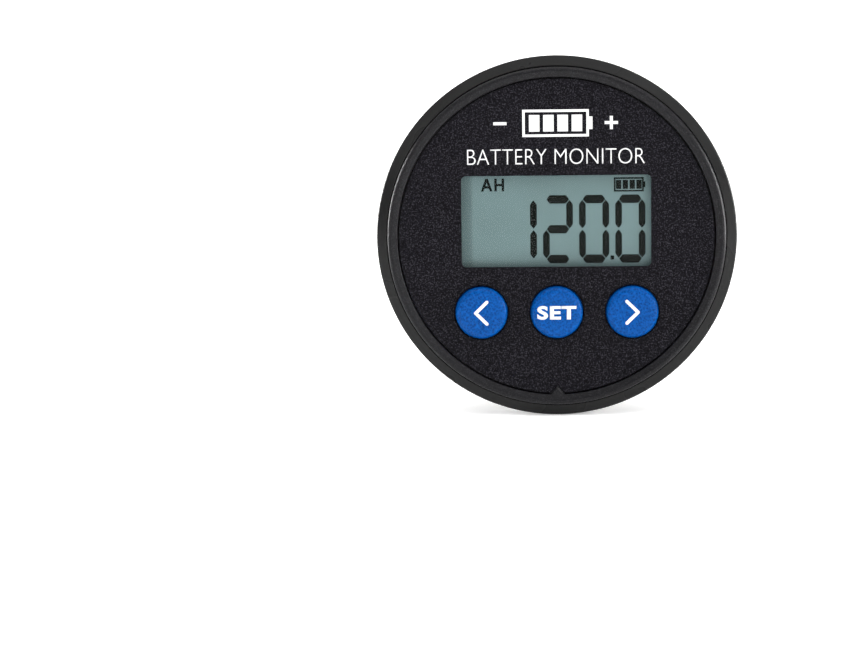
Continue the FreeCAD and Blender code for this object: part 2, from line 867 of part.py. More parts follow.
def add_leads(body, places, width, height, axis_role, spacing, count):
    """Rows of legs, started at each place and repeated along an axis."""
    leg_end = below_board("chip_standoff + lead_rise")
    first = pad_between(body, BOARD_BACK, leg_end, blocks_at(places, width, height))
    row_of(body, first, axis_role, spacing, count)


def make_microcontroller():
    body = new_piece("microcontroller")
    top = below_board("chip_standoff + chip_thickness")
    middle = ("chip_x", "chip_z")
    square = blocks_at([middle], "chip_width", "chip_width")
    pad_between(body, below_board("chip_standoff"), top, square)
    dress(body, "Chamfer", "chip_chamfer", lambda edge: edge.BoundBox.YLength > SHORT)
    first = "(chip_leads_per_side - 1) * chip_lead_pitch / 2"
    reach = "(chip_width + chip_lead_reach) / 2"
    sides = [(f"chip_x {way} {reach}", f"chip_z - {first}") for way in "+-"]
    ends = [(f"chip_x - {first}", f"chip_z {way} {reach}") for way in "+-"]
    pitch_and_count = ("chip_lead_pitch", "chip_leads_per_side")
    add_leads(body, sides, "chip_lead_reach", "lead_width", "Z_Axis", *pitch_and_count)
    add_leads(body, ends, "lead_width", "chip_lead_reach", "X_Axis", *pitch_and_count)


def make_line_transceiver():
    body = new_piece("line_transceiver")
    top = below_board("chip_standoff + transceiver_thickness")
    middle = ("transceiver_x", "transceiver_z")
    outline = blocks_at([middle], "transceiver_width", "transceiver_length")
    pad_between(body, below_board("chip_standoff"), top, outline)
    first = "(transceiver_leads_per_side - 1) * transceiver_lead_pitch / 2"
    reach = "(transceiver_width + chip_lead_reach) / 2"
    sides = [(f"transceiver_x {way} {reach}", f"transceiver_z - {first}") for way in "+-"]
    pitch_and_count = ("transceiver_lead_pitch", "transceiver_leads_per_side")
    add_leads(body, sides, "chip_lead_reach", "lead_width", "Z_Axis", *pitch_and_count)


def make_voltage_regulator():
    """A package with three legs on one side and a wide cooling tab on the other."""
    body = new_piece("voltage_regulator")
    top = below_board("chip_standoff + regulator_thickness")
    middle = ("regulator_x", "regulator_z")
    outline = blocks_at([middle], "regulator_width", "regulator_length")
    pad_between(body, below_board("chip_standoff"), top, outline)
    reach = "(regulator_length + chip_lead_reach) / 2"
    tab = blocks_at([("regulator_x", f"regulator_z + {reach}")], "regulator_tab_width", "chip_lead_reach")
    pad_between(body, BOARD_BACK, below_board("chip_standoff + lead_rise"), tab)
    first = "(regulator_lead_count - 1) * regulator_lead_pitch / 2"
    legs = [(f"regulator_x - {first}", f"regulator_z - {reach}")]
    pitch_and_count = ("regulator_lead_pitch", "regulator_lead_count")
    add_leads(body, legs, "2 * lead_width", "chip_lead_reach", "X_Axis", *pitch_and_count)


def make_small_parts():
    crystal = new_piece("crystal")
    middle = [("crystal_x", "crystal_z")]
    can = blocks_at(middle, "crystal_length", "crystal_width")
    pad_between(crystal, BOARD_BACK, below_board("crystal_height"), can)
    dress(crystal, "Fillet", "crystal_round", lambda edge: edge.BoundBox.YLength > SHORT)

    capacitors = new_piece("smoothing_capacitors")
    places = [("capacitor_x", "capacitor_upper_z"), ("capacitor_x", "capacitor_lower_z")]
    bases = blocks_at(places, "capacitor_base_width", "capacitor_base_width")
    cans = discs_at(places, "capacitor_radius")
    pad_between(capacitors, BOARD_BACK, below_board("capacitor_base"), bases)
    pad_between(capacitors, below_board("capacitor_base"), below_board("capacitor_height"), cans)
    top_edge = circle_at(below_board("capacitor_height"), "capacitor_radius")
    dress(capacitors, "Fillet", "capacitor_round", top_edge)

    resistors = new_piece("chip_resistors")
    first = "-(resistor_count - 1) * resistor_pitch / 2"
    outline = blocks_at([(first, "resistor_z")], "resistor_width", "resistor_length")
    chip = pad_between(resistors, BOARD_BACK, below_board("resistor_height"), outline)
    row_of(resistors, chip, "X_Axis", "resistor_pitch", "resistor_count")


def make_data_socket():
    """A six-way modular socket that stands on the board and opens at the rear cover."""
    body = new_piece("data_socket")
    end = "(-socket_end_depth)"
    outline = blocks_at([("0", "0")], "socket_width", "socket_height")
    pad_between(body, BOARD_BACK, end, outline)
    dress(body, "Chamfer", "socket_chamfer", lambda edge: edge.BoundBox.YLength > SHORT)
    mouth_floor = f"({end} + mouth_length)"
    mouth = blocks_at([("0", "mouth_z")], "mouth_width", "mouth_height")
    pocket_between(body, mouth_floor, end, mouth)
    latch_z = "(mouth_z + mouth_height / 2 + latch_height / 2)"
    latch = blocks_at([("0", latch_z)], "latch_width", "latch_height")
    pocket_between(body, mouth_floor, end, latch)
    slot_z = "(mouth_z + mouth_height / 2 + latch_height + latch_slot_height / 2)"
    slot = blocks_at([("0", slot_z)], "latch_slot_width", "latch_slot_height")
    pocket_between(body, mouth_floor, end, slot)
    trough_depth = "(mouth_z - mouth_height / 2 - contact_floor_z)"
    trough = blocks_at(
        [("0", f"contact_floor_z + {trough_depth} / 2")],
        "contact_count * contact_pitch",
        trough_depth,
    )
    pocket_between(body, BOARD_BACK, f"({end} + trough_end_wall)", trough)


def make_socket_contacts():
    """Six sprung wires: each runs back along the trough, then folds into the mouth."""
    body = new_piece("socket_contacts")
    sketch = new_sketch(body, "YZ_Plane")
    row = "(contact_count - 1) * contact_pitch + contact_width"
    bind(sketch, "AttachmentOffset.Base.z", f"-({row}) / 2")
    floor = "(contact_floor_z + fit_gap)"
    fold = "(socket_end_depth - trough_end_wall - contact_end_gap)"
    lip = "(mouth_z - mouth_height / 2)"
    chain(sketch, [
        (f"-{BOARD_BACK}", floor),
        (fold, floor),
        (fold, lip),
        ("contact_tip_depth", "contact_tip_z"),
        ("contact_tip_depth", "contact_tip_z - contact_thickness"),
        (f"{fold} - contact_thickness", f"{lip} - contact_thickness"),
        (f"{fold} - contact_thickness", f"{floor} + contact_thickness"),
        (f"-{BOARD_BACK}", f"{floor} + contact_thickness"),
    ])
    wire = pad(body, sketch, "contact_width")
    row_of(body, wire, "X_Axis", "contact_pitch", "contact_count")


# The back of the case and what clamps it to the panel


def make_rear_cover():
    body = new_piece("rear_cover")
    spigot_end = "(cover_seat_depth - cover_spigot_length)"
    turned(body, [
        (spigot_end, "cover_spigot_bore_radius"),
        (spigot_end, "cover_spigot_radius"),
        ("cover_seat_depth", "cover_spigot_radius"),
        ("cover_seat_depth", "cover_radius"),
        (COVER_BACK, "cover_radius"),
        (COVER_BACK, "0"),
        ("cover_seat_depth", "0"),
        ("cover_seat_depth", "cover_spigot_bore_radius"),
    ])
    dress(body, "Chamfer", "cover_chamfer", circle_at(f"-{COVER_BACK}", "cover_radius"))
    pad_between(body, "-boss_depth", "-cover_seat_depth", discs_at(BOSS_PLACES, "cover_pad_radius"))
    groove_front = "-(cover_seal_depth - cover_seal_width / 2)"
    groove_back = "-(cover_seal_depth + cover_seal_width / 2)"
    groove = ring_section(groove_front, groove_back, "cover_seal_groove_radius", "bore_radius")
    turned(body, groove, cut=True)
    opening = blocks_at([("0", "0")], "socket_width + 2 * cover_gap", "socket_height + 2 * cover_gap")
    pocket_between(body, "-cover_seat_depth", f"-{COVER_BACK}", opening)
    holes = discs_at(BOSS_PLACES, "screw_clearance_radius")
    pocket_between(body, "-boss_depth", f"-{COVER_BACK}", holes)
    heads = discs_at(BOSS_PLACES, "cover_head_radius")
    pocket_between(body, f"(cover_head_depth - {COVER_BACK})", f"-{COVER_BACK}", heads)

    seal = new_piece("rear_cover_seal")
    turned(seal, ring_section(groove_front, groove_back, "cover_seal_groove_radius", "bore_radius"))


def make_clamp_washer():
    body = new_piece("clamp_washer")
    section = ring_section("-panel_gap", f"-{WASHER_BACK}", "washer_bore_radius", "washer_radius")
    turned(body, section)
    for height in ("-panel_gap", f"-{WASHER_BACK}"):
        dress(body, "Chamfer", "washer_chamfer", circle_at(height, "washer_radius"))


def make_ring_nut():
    body = new_piece("ring_nut")
    turned(body, ring_section(f"-{NUT_FRONT}", f"-{NUT_BACK}", "nut_root_radius", "nut_radius"))
    make_thread(body, [
        ("nut_thread_depth - nut_root_width / 2", "nut_root_radius + thread_overlap"),
        ("nut_thread_depth - nut_crest_width / 2", "nut_crest_radius"),
        ("nut_thread_depth + nut_crest_width / 2", "nut_crest_radius"),
        ("nut_thread_depth + nut_root_width / 2", "nut_root_radius + thread_overlap"),
    ], "nut_thread_turns")
    for height in (f"-{NUT_FRONT}", f"-{NUT_BACK}"):
        dress(body, "Chamfer", "nut_chamfer", circle_at(height, "nut_radius"))
    flute = discs_at([("0", "nut_radius + flute_radius - flute_bite")], "flute_radius")
    shoulder = f"-({NUT_FRONT} + nut_shoulder)"
    first = pocket_between(body, shoulder, f"-{NUT_BACK}", flute)
    round_turn(body, first, "flute_count")


def check_document():
    """Stops if any object failed or any piece has no sound shape."""
    for item in doc.Objects:
        if "Invalid" in item.State or "Error" in item.State:
            raise RuntimeError(f"{item.Name} failed: {item.State}")
    for body in pieces():
        if body.Shape.isNull() or not body.Shape.isValid():
            raise RuntimeError(f"{body.Label} has no sound shape")


def pieces():
    return [item for item in doc.Objects if item.TypeId == "PartDesign::Body"]


make_housing()
make_trim_bezel()
make_front_ring()
make_face_plate()
make_front_seal()
make_panel_gasket()
make_display()
make_display_holder()
make_buttons()
make_switches()
make_main_board()
make_screws("board_screws", "board_front_height", "+")
make_microcontroller()
make_line_transceiver()
make_voltage_regulator()
make_small_parts()
make_data_socket()
make_socket_contacts()
make_rear_cover()
make_screws("rear_cover_screws", f"(cover_head_depth - {COVER_BACK})", "-")
make_clamp_washer()
make_ring_nut()
doc.recompute()
check_document()

os.makedirs("parts", exist_ok=True)
for body in pieces():
    body.Shape.exportStep(f"parts/{body.Label}.step")
    print(body.Label, len(body.Shape.Solids), round(body.Shape.Volume, 2))
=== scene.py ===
import json
import math

import bmesh
import bpy
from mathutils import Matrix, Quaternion, Vector


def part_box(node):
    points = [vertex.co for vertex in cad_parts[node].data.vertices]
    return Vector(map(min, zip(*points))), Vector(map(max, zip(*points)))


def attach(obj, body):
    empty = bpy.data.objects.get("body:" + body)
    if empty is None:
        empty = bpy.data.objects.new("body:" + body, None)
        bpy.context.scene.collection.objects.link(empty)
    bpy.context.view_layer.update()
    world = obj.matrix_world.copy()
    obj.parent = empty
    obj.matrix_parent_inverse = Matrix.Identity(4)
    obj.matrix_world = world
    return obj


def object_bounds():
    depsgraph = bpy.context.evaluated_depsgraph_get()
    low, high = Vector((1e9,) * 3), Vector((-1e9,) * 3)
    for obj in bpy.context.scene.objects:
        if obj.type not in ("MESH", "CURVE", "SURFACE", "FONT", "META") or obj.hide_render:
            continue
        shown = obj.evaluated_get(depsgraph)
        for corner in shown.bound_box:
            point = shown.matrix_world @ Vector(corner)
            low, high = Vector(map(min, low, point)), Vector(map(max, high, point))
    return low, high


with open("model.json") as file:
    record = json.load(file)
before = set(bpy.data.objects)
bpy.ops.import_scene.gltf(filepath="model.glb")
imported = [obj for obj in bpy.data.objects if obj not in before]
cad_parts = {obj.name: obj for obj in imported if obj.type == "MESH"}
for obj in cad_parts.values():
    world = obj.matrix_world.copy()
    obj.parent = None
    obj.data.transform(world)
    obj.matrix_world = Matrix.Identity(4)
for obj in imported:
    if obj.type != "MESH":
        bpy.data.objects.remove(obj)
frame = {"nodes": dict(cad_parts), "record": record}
cad_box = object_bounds()

MM = 0.001
NODES = frame["nodes"]

# Places that come from the CAD frame. The face looks towards -Y, so a front is a least Y.
FACE_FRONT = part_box("face_plate")[0].y
FILM_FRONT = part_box("front_polariser")[0].y
LENS_LOW, LENS_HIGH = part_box("display_lens")
LENS_MARGIN = 0.9 * MM
WINDOW_X = (LENS_LOW.x + LENS_HIGH.x) / 2
WINDOW_Z = (LENS_LOW.z + LENS_HIGH.z) / 2
WINDOW_WIDTH = LENS_HIGH.x - LENS_LOW.x - 2 * LENS_MARGIN
WINDOW_HEIGHT = LENS_HIGH.z - LENS_LOW.z - 2 * LENS_MARGIN

# Print is a thin layer that stands just clear of the surface under it.
PRINT_THICKNESS = 0.02 * MM
PRINT_GAP = 0.004 * MM


# Material nodes

EDGE_RADIUS = 0.1 * MM


class Shader:
    """A new node material, with short ways to add the nodes that the finishes share."""

    def __init__(self, name):
        self.material = bpy.data.materials.new(name)
        self.material.use_nodes = True
        self.tree = self.material.node_tree
        self.tree.nodes.clear()
        self.output = self.tree.nodes.new("ShaderNodeOutputMaterial")
        self.place = self.tree.nodes.new("ShaderNodeTexCoord").outputs["Object"]

    def node(self, kind, inputs=None, **settings):
        node = self.tree.nodes.new("ShaderNode" + kind)
        for name, setting in settings.items():
            setattr(node, name, setting)
        for name, source in (inputs or {}).items():
            if isinstance(source, bpy.types.NodeSocket):
                self.tree.links.new(source, node.inputs[name])
            else:
                node.inputs[name].default_value = source
        return node

    def noise(self, size, detail=2.0):
        """Soft cloudy variation, from 0 to 1, with features about as large as size."""
        return self.node("TexNoise", {
            "Vector": self.place,
            "Scale": 1 / size,
            "Detail": detail,
        }).outputs["Fac"]

    def pebbles(self, size):
        """Moulded grain: rounded bumps about as large as size."""
        return self.node("TexVoronoi", {
            "Vector": self.place,
            "Scale": 1 / size,
        }, feature="SMOOTH_F1").outputs["Distance"]

    def stretch(self, source, low, high, to_low, to_high):
        return self.node("MapRange", {
            "Value": source,
            "From Min": low,
            "From Max": high,
            "To Min": to_low,
            "To Max": to_high,
        }).outputs["Result"]

    def spread(self, noise, low, high):
        """Noise lies mostly between 0.3 and 0.7. This spreads it from low to high."""
        return self.stretch(noise, 0.3, 0.7, low, high)

    def add(self, first, second, share):
        """first plus second times share."""
        return self.node("Math", {0: second, 1: share, 2: first}, operation="MULTIPLY_ADD").outputs[0]

    def times(self, first, second):
        return self.node("Math", {0: first, 1: second}, operation="MULTIPLY").outputs[0]

    def between(self, factor, dark, light):
        """A colour from dark to light. Each is three numbers or another node's output."""
        node = self.node("Mix", {"Factor": factor}, data_type="RGBA")
        for slot, colour in ((6, dark), (7, light)):
            if isinstance(colour, bpy.types.NodeSocket):
                self.tree.links.new(colour, node.inputs[slot])
            else:
                node.inputs[slot].default_value = (*colour, 1)
        return node.outputs[2]

    def bump(self, height, depth, normal=None):
        inputs = {"Height": height, "Distance": depth}
        if normal:
            inputs["Normal"] = normal
        return self.node("Bump", inputs).outputs["Normal"]

    def soft_edges(self):
        """A normal that rounds sharp edges, and how far each place is worn, from 0 to 1."""
        rounded = self.node("Bevel", {"Radius": EDGE_RADIUS}, samples=4).outputs["Normal"]
        sharp = self.node("NewGeometry").outputs["Normal"]
        turned = self.node("VectorMath", {0: rounded, 1: sharp}, operation="DOT_PRODUCT")
        edge = self.stretch(turned.outputs["Value"], 0.97, 0.8, 0.0, 1.0)
        patches = self.stretch(self.noise(1.3 * MM, detail=4), 0.45, 0.65, 0.0, 1.0)
        return rounded, self.times(edge, patches)

    def finish(self, surface):
        self.tree.links.new(surface, self.output.inputs["Surface"])
        return self.material


def scaled(colour, factor):
    return tuple(channel * factor for channel in colour)


def moulded(name, colour, roughness, grain, depth, fleck=0.35, shine=0.5, painted_glint=0.0):
    """Moulded plastic: pebble grain, uneven gloss and slightly worn edges.

    Grain is how far apart its bumps are, and depth how deep it is. Fleck is how far the colour
    varies from bump to bump, and the last argument sets how much brighter and greyer a few spots are
    painted, as glints of light on the grain.
    """
    s = Shader(name)
    rounded, worn = s.soft_edges()
    fine = s.pebbles(grain)
    uneven = s.noise(grain * 0.6, detail=3)
    cloud = s.noise(9 * MM)
    height = s.add(fine, uneven, 0.8)
    tone = s.add(s.stretch(height, 0.5, 1.2, 0.0, 0.85), cloud, 0.3)
    # Painted glints: a few spots of the grain are painted brighter and greyer, standing in for light
    # glinting off the grain.
    glint_spots = s.stretch(s.noise(grain * 0.7, detail=1), 0.52, 0.7, 0.0, 1.0)
    grey = sum(colour) / 3
    glint_colour = [(channel + grey) / 2 * (1 + painted_glint) for channel in colour]
    paint = s.between(tone, scaled(colour, 1 - fleck), scaled(colour, 1 + fleck))
    paint = s.between(glint_spots, paint, glint_colour) if painted_glint else paint
    paint = s.between(s.times(worn, 0.5), paint, [0.02 + 1.5 * channel for channel in colour])
    gloss = s.spread(cloud, roughness - 0.04, roughness + 0.05)
    plastic = s.node("BsdfPrincipled", {
        "Base Color": paint,
        "Roughness": gloss,
        "Specular IOR Level": shine,
        "Normal": s.bump(height, depth, rounded),
    })
    return s.finish(plastic.outputs["BSDF"])


def rubber(name, colour):
    s = Shader(name)
    dust = s.noise(1.5 * MM, detail=6)
    skin = s.noise(0.12 * MM, detail=4)
    plastic = s.node("BsdfPrincipled", {
        "Base Color": s.between(dust, colour, scaled(colour, 2.2)),
        "Roughness": s.spread(dust, 0.62, 0.8),
        "Specular IOR Level": 0.35,
        "Normal": s.bump(skin, 0.01 * MM),
    })
    return s.finish(plastic.outputs["BSDF"])


def metal(name, colour, roughness):
    """Plated or bare metal with fine handling marks."""
    s = Shader(name)
    marks = s.noise(0.25 * MM, detail=5)
    tarnish = s.noise(2.5 * MM, detail=3)
    steel = s.node("BsdfPrincipled", {
        "Base Color": s.between(tarnish, scaled(colour, 0.82), colour),
        "Metallic": 1.0,
        "Roughness": s.spread(marks, roughness * 0.75, roughness * 1.3),
        "Normal": s.bump(marks, 0.004 * MM),
    })
    return s.finish(steel.outputs["BSDF"])


def clear(name, tint, gloss_roughness=0.04, bend=1.12):
    """A thin clear layer: it lets light straight through and reflects a little at its skin."""
    s = Shader(name)
    smears = s.noise(6 * MM, detail=3)
    rough = s.spread(smears, gloss_roughness, gloss_roughness + 0.05)
    through = s.node("BsdfTransparent", {"Color": (*tint, 1)})
    sheen = s.node("BsdfGlossy", {"Color": (1, 1, 1, 1), "Roughness": rough})
    share = s.node("Fresnel", {"IOR": bend})
    mix = s.node("MixShader", {0: share.outputs[0], 1: through.outputs[0], 2: sheen.outputs[0]})
    return s.finish(mix.outputs[0])


DISPLAY_COLOUR = (0.175, 0.253, 0.257)
# Painted shadow of the window's walls on the display: where the painted strip along the left or bottom
# edge stops being darkest, where the full tone starts, and how dark the painted shadow is.
LEFT_PAINTED_SHADOW = (1.5 * MM, 1.95 * MM, 0.8)
BOTTOM_PAINTED_SHADOW = (0.35 * MM, 1.15 * MM, 0.83)


def display_ground_and_painted_shadow():
    """The grey-green ground of the display, with a painted shadow of the window's walls in a strip at
    the left and at the bottom.
    """
    s = Shader("display_ground_and_painted_shadow")
    axes = s.node("SeparateXYZ", {"Vector": s.place}).outputs
    # Painted shadow: the tone is darkened towards the left and bottom edges of the window, where its
    # walls would shade the recessed display.
    lit = []
    for axis, edge, (shadow_end, full_start, shadow_level) in (
        ("X", WINDOW_X - WINDOW_WIDTH / 2, LEFT_PAINTED_SHADOW),
        ("Z", WINDOW_Z - WINDOW_HEIGHT / 2, BOTTOM_PAINTED_SHADOW),
    ):
        lit.append(s.stretch(axes[axis], edge + shadow_end, edge + full_start, shadow_level, 1.0))
    cloud = s.noise(8 * MM, detail=1)
    pearl = s.noise(0.15 * MM, detail=2)
    tone = s.times(s.times(*lit), s.spread(cloud, 0.9, 1.0))
    film = s.node("BsdfPrincipled", {
        "Base Color": s.between(tone, (0.0, 0.0, 0.0), DISPLAY_COLOUR),
        "Roughness": 0.45,
        "Specular IOR Level": 0.15,
        "Normal": s.bump(pearl, 0.0004 * MM),
    })
    return s.finish(film.outputs["BSDF"])


def ink(name, colour, roughness=0.5, shine=0.3):
    """Screen-printed ink with slightly uneven cover."""
    s = Shader(name)
    cover = s.noise(0.1 * MM, detail=3)
    layer = s.node("BsdfPrincipled", {
        "Base Color": s.between(cover, scaled(colour, 0.86), colour),
        "Roughness": roughness,
        "Specular IOR Level": shine,
        "Normal": s.bump(cover, 0.004 * MM),
    })
    return s.finish(layer.outputs["BSDF"])


def board_laminate():
    """Green solder resist with the weave of the glass fibre just showing."""
    s = Shader("board_laminate")
    weave = s.node("TexWave", {"Vector": s.place, "Scale": 900.0, "Distortion": 1.5}).outputs["Fac"]
    resist = s.node("BsdfPrincipled", {
        "Base Color": s.between(weave, (0.006, 0.09, 0.03), (0.01, 0.13, 0.045)),
        "Roughness": 0.3,
        "Normal": s.bump(weave, 0.003 * MM),
    })
    return s.finish(resist.outputs["BSDF"])


MOULDED = {
    "bezel_plastic": {
        "colour": (0.0076, 0.0076, 0.0076), "roughness": 0.28,
        "grain": 0.3 * MM, "depth": 0.002 * MM, "fleck": 0.08, "shine": 0.17,
    },
    # The ring and the face plate get painted glints: a few grain spots are painted brighter, standing
    # in for light glinting off the grain.
    "ring_plastic": {
        "colour": (0.0058, 0.0056, 0.0068), "roughness": 0.34,
        "grain": 0.3 * MM, "depth": 0.02 * MM, "fleck": 0.4, "shine": 0.155, "painted_glint": 2.6,
    },
    "face_plastic": {
        "colour": (0.0034, 0.0031, 0.0046), "roughness": 0.42,
        "grain": 0.34 * MM, "depth": 0.13 * MM, "fleck": 0.9, "shine": 0.05, "painted_glint": 8.0,
    },
    "button_plastic": {
        "colour": (0.0, 0.055, 0.244), "roughness": 0.24,
        "grain": 0.34 * MM, "depth": 0.012 * MM, "fleck": 0.5, "shine": 0.1,
    },
    "case_plastic": {
        "colour": (0.018, 0.018, 0.019), "roughness": 0.42,
        "grain": 0.25 * MM, "depth": 0.008 * MM,
    },
    "nut_plastic": {
        "colour": (0.022, 0.022, 0.023), "roughness": 0.5,
        "grain": 0.3 * MM, "depth": 0.014 * MM,
    },
    "washer_plastic": {
        "colour": (0.62, 0.60, 0.55), "roughness": 0.45,
        "grain": 0.3 * MM, "depth": 0.006 * MM, "fleck": 0.04,
    },
    "white_film": {
        "colour": (0.8, 0.8, 0.78), "roughness": 0.4,
        "grain": 0.3 * MM, "depth": 0.002 * MM, "fleck": 0.03,
    },
    "holder_plastic": {
        "colour": (0.05, 0.05, 0.05), "roughness": 0.5,
        "grain": 0.25 * MM, "depth": 0.006 * MM,
    },
    "led_resin": {
        "colour": (0.85, 0.8, 0.45), "roughness": 0.3,
        "grain": 0.2 * MM, "depth": 0.002 * MM, "fleck": 0.05,
    },
    "plunger_plastic": {
        "colour": (0.02, 0.02, 0.02), "roughness": 0.4,
        "grain": 0.2 * MM, "depth": 0.004 * MM,
    },
    "switch_plastic": {
        "colour": (0.03, 0.03, 0.03), "roughness": 0.5,
        "grain": 0.2 * MM, "depth": 0.004 * MM,
    },
    "chip_resin": {
        "colour": (0.025, 0.025, 0.027), "roughness": 0.6,
        "grain": 0.12 * MM, "depth": 0.005 * MM,
    },
    "resistor_ceramic": {
        "colour": (0.05, 0.05, 0.055), "roughness": 0.3,
        "grain": 0.1 * MM, "depth": 0.001 * MM,
    },
    "socket_plastic": {
        "colour": (0.02, 0.02, 0.021), "roughness": 0.38,
        "grain": 0.2 * MM, "depth": 0.004 * MM,
    },
}
METALS = {
    "plated_steel": {"colour": (0.62, 0.63, 0.64), "roughness": 0.3},
    "tinned_metal": {"colour": (0.72, 0.72, 0.7), "roughness": 0.35},
    "crystal_can": {"colour": (0.75, 0.75, 0.74), "roughness": 0.2},
    "capacitor_can": {"colour": (0.78, 0.78, 0.8), "roughness": 0.28},
    "gold_contact": {"colour": (0.83, 0.62, 0.25), "roughness": 0.22},
}
RUBBERS = {
    "seal_rubber": {"colour": (0.012, 0.012, 0.012)},
    "contact_rubber": {"colour": (0.2, 0.2, 0.21)},
}
CLEAR_LAYERS = {
    "clear_window": {"tint": (0.97, 0.98, 0.98)},
    "display_glass": {"tint": (0.98, 0.99, 0.985), "bend": 1.02},
    "light_guide_acrylic": {"tint": (0.9, 0.95, 0.93), "gloss_roughness": 0.1},
}


def make_finishes():
    """The material of each slot in the record."""
    finishes = {"polariser_film": display_ground_and_painted_shadow(), "board_laminate": board_laminate()}
    for maker, looks in ((moulded, MOULDED), (metal, METALS), (rubber, RUBBERS), (clear, CLEAR_LAYERS)):
        for name, look in looks.items():
            finishes[name] = maker(name, **look)
    return finishes


FINISHES = make_finishes()
WHITE_INK = ink("legend_ink", (0.82, 0.82, 0.82))
SEGMENT_INK = ink("display_segment", (0.006, 0.0075, 0.0065), 0.5, 0.03)


def finish_cad_nodes():
    for part in frame["record"]["subparts"]:
        node = NODES[part["node"]]
        node.data.materials.clear()
        node.data.materials.append(FINISHES[part["material_slot"]])


# Flat printed shapes


def print_front(surface_y):
    """Where the front of a printed layer is, over a surface that faces -Y."""
    return surface_y - PRINT_THICKNESS - PRINT_GAP


def new_piece(name, mesh, material, body):
    piece = bpy.data.objects.new(name, mesh)
    bpy.context.scene.collection.objects.link(piece)
    mesh.materials.append(material)
    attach(piece, body)
    return piece


def flat_mesh(name, outlines, front_y):
    """A printed layer in the XZ plane. An outline is a list of (x, z) corners."""
    bm = bmesh.new()
    for outline in outlines:
        front = [bm.verts.new((x, front_y, z)) for x, z in outline]
        back = [bm.verts.new((x, front_y + PRINT_THICKNESS, z)) for x, z in outline]
        bm.faces.new(front)
        bm.faces.new(back[::-1])
        count = len(outline)
        for i in range(count):
            j = (i + 1) % count
            bm.faces.new((front[j], front[i], back[i], back[j]))
    bmesh.ops.recalc_face_normals(bm, faces=bm.faces)
    mesh = bpy.data.meshes.new(name)
    bm.to_mesh(mesh)
    bm.free()
    return mesh


def arc(centre, radius, start, end, steps=10):
    """Points round a centre, from one angle to another in degrees."""
    points = []
    for i in range(steps + 1):
        angle = math.radians(start + (end - start) * i / steps)
        points.append((centre[0] + radius * math.cos(angle), centre[1] + radius * math.sin(angle)))
    return points


def box_outline(centre, width, height):
    x, z = centre
    return [
        (x - width / 2, z - height / 2),
        (x + width / 2, z - height / 2),
        (x + width / 2, z + height / 2),
        (x - width / 2, z + height / 2),
    ]


def chevron_outline(centre, width, height, stroke):
    """A chevron with round ends and its point on the left."""
    x, z = centre
    half = stroke / 2
    tip = (x - width / 2, z)
    top = (x + width / 2, z + height / 2)
    foot = (x + width / 2, z - height / 2)
    slope = math.degrees(math.atan2(height / 2, width))
    inner = half / math.sin(math.radians(slope))
    outline = arc(top, half, slope - 90, slope + 90)
    outline += arc(tip, half, 90 + slope, 270 - slope)
    outline += arc(foot, half, -90 - slope, 90 - slope)
    outline += [(tip[0] + inner, z)]
    return outline


def mirrored(outline, x):
    """The outline turned over left to right about x, still in the same sense of turning."""
    return [(2 * x - u, v) for u, v in outline[::-1]]


def text_faces(words, weight, spacing):
    """The flat faces of the words in Blender's own plain font, as a bmesh in the XY plane."""
    curve = bpy.data.curves.new("words", "FONT")
    curve.body = words
    curve.align_x = "CENTER"
    curve.align_y = "CENTER"
    curve.resolution_u = 6
    curve.offset = weight
    curve.space_character = spacing
    text = bpy.data.objects.new("words", curve)
    bpy.context.scene.collection.objects.link(text)
    bpy.context.view_layer.update()
    flat = bpy.data.meshes.new_from_object(text)
    bpy.data.objects.remove(text)
    bm = bmesh.new()
    bm.from_mesh(flat)
    bpy.data.meshes.remove(flat)
    return bm


def lettering(name, words, centre, size, front_y, body, weight=0.0, spacing=1.0):
    """Plain capitals in white print, stretched to a width and a capital height."""
    bm = text_faces(words, weight, spacing)
    xs = [v.co.x for v in bm.verts]
    ys = [v.co.y for v in bm.verts]
    wide = size[0] / (max(xs) - min(xs))
    tall = size[1] / (max(ys) - min(ys))
    middle_x = (max(xs) + min(xs)) / 2
    middle_y = (max(ys) + min(ys)) / 2
    for v in bm.verts:
        x = centre[0] + (v.co.x - middle_x) * wide
        z = centre[1] + (v.co.y - middle_y) * tall
        v.co = (x, front_y, z)
    bmesh.ops.remove_doubles(bm, verts=bm.verts, dist=1e-7)
    made = bmesh.ops.extrude_face_region(bm, geom=bm.faces[:])
    back = [g for g in made["geom"] if isinstance(g, bmesh.types.BMVert)]
    bmesh.ops.translate(bm, verts=back, vec=(0, PRINT_THICKNESS, 0))
    bmesh.ops.recalc_face_normals(bm, faces=bm.faces)
    mesh = bpy.data.meshes.new(name)
    bm.to_mesh(mesh)
    bm.free()
    return new_piece(name, mesh, WHITE_INK, body)


# Battery symbols

SYMBOL = {
    "body": (11.0 * MM, 4.5 * MM), "terminal": (0.6 * MM, 2.1 * MM), "stroke": 0.42 * MM,
    "bar": (1.75 * MM, 2.75 * MM), "pitch": 2.35 * MM,
}
ICON = {
    "body": (4.95 * MM, 2.38 * MM), "terminal": (0.26 * MM, 0.95 * MM), "stroke": 0.27 * MM,
    "bar": (0.88 * MM, 1.5 * MM), "pitch": 1.13 * MM,
}
BAR_COUNT = 4


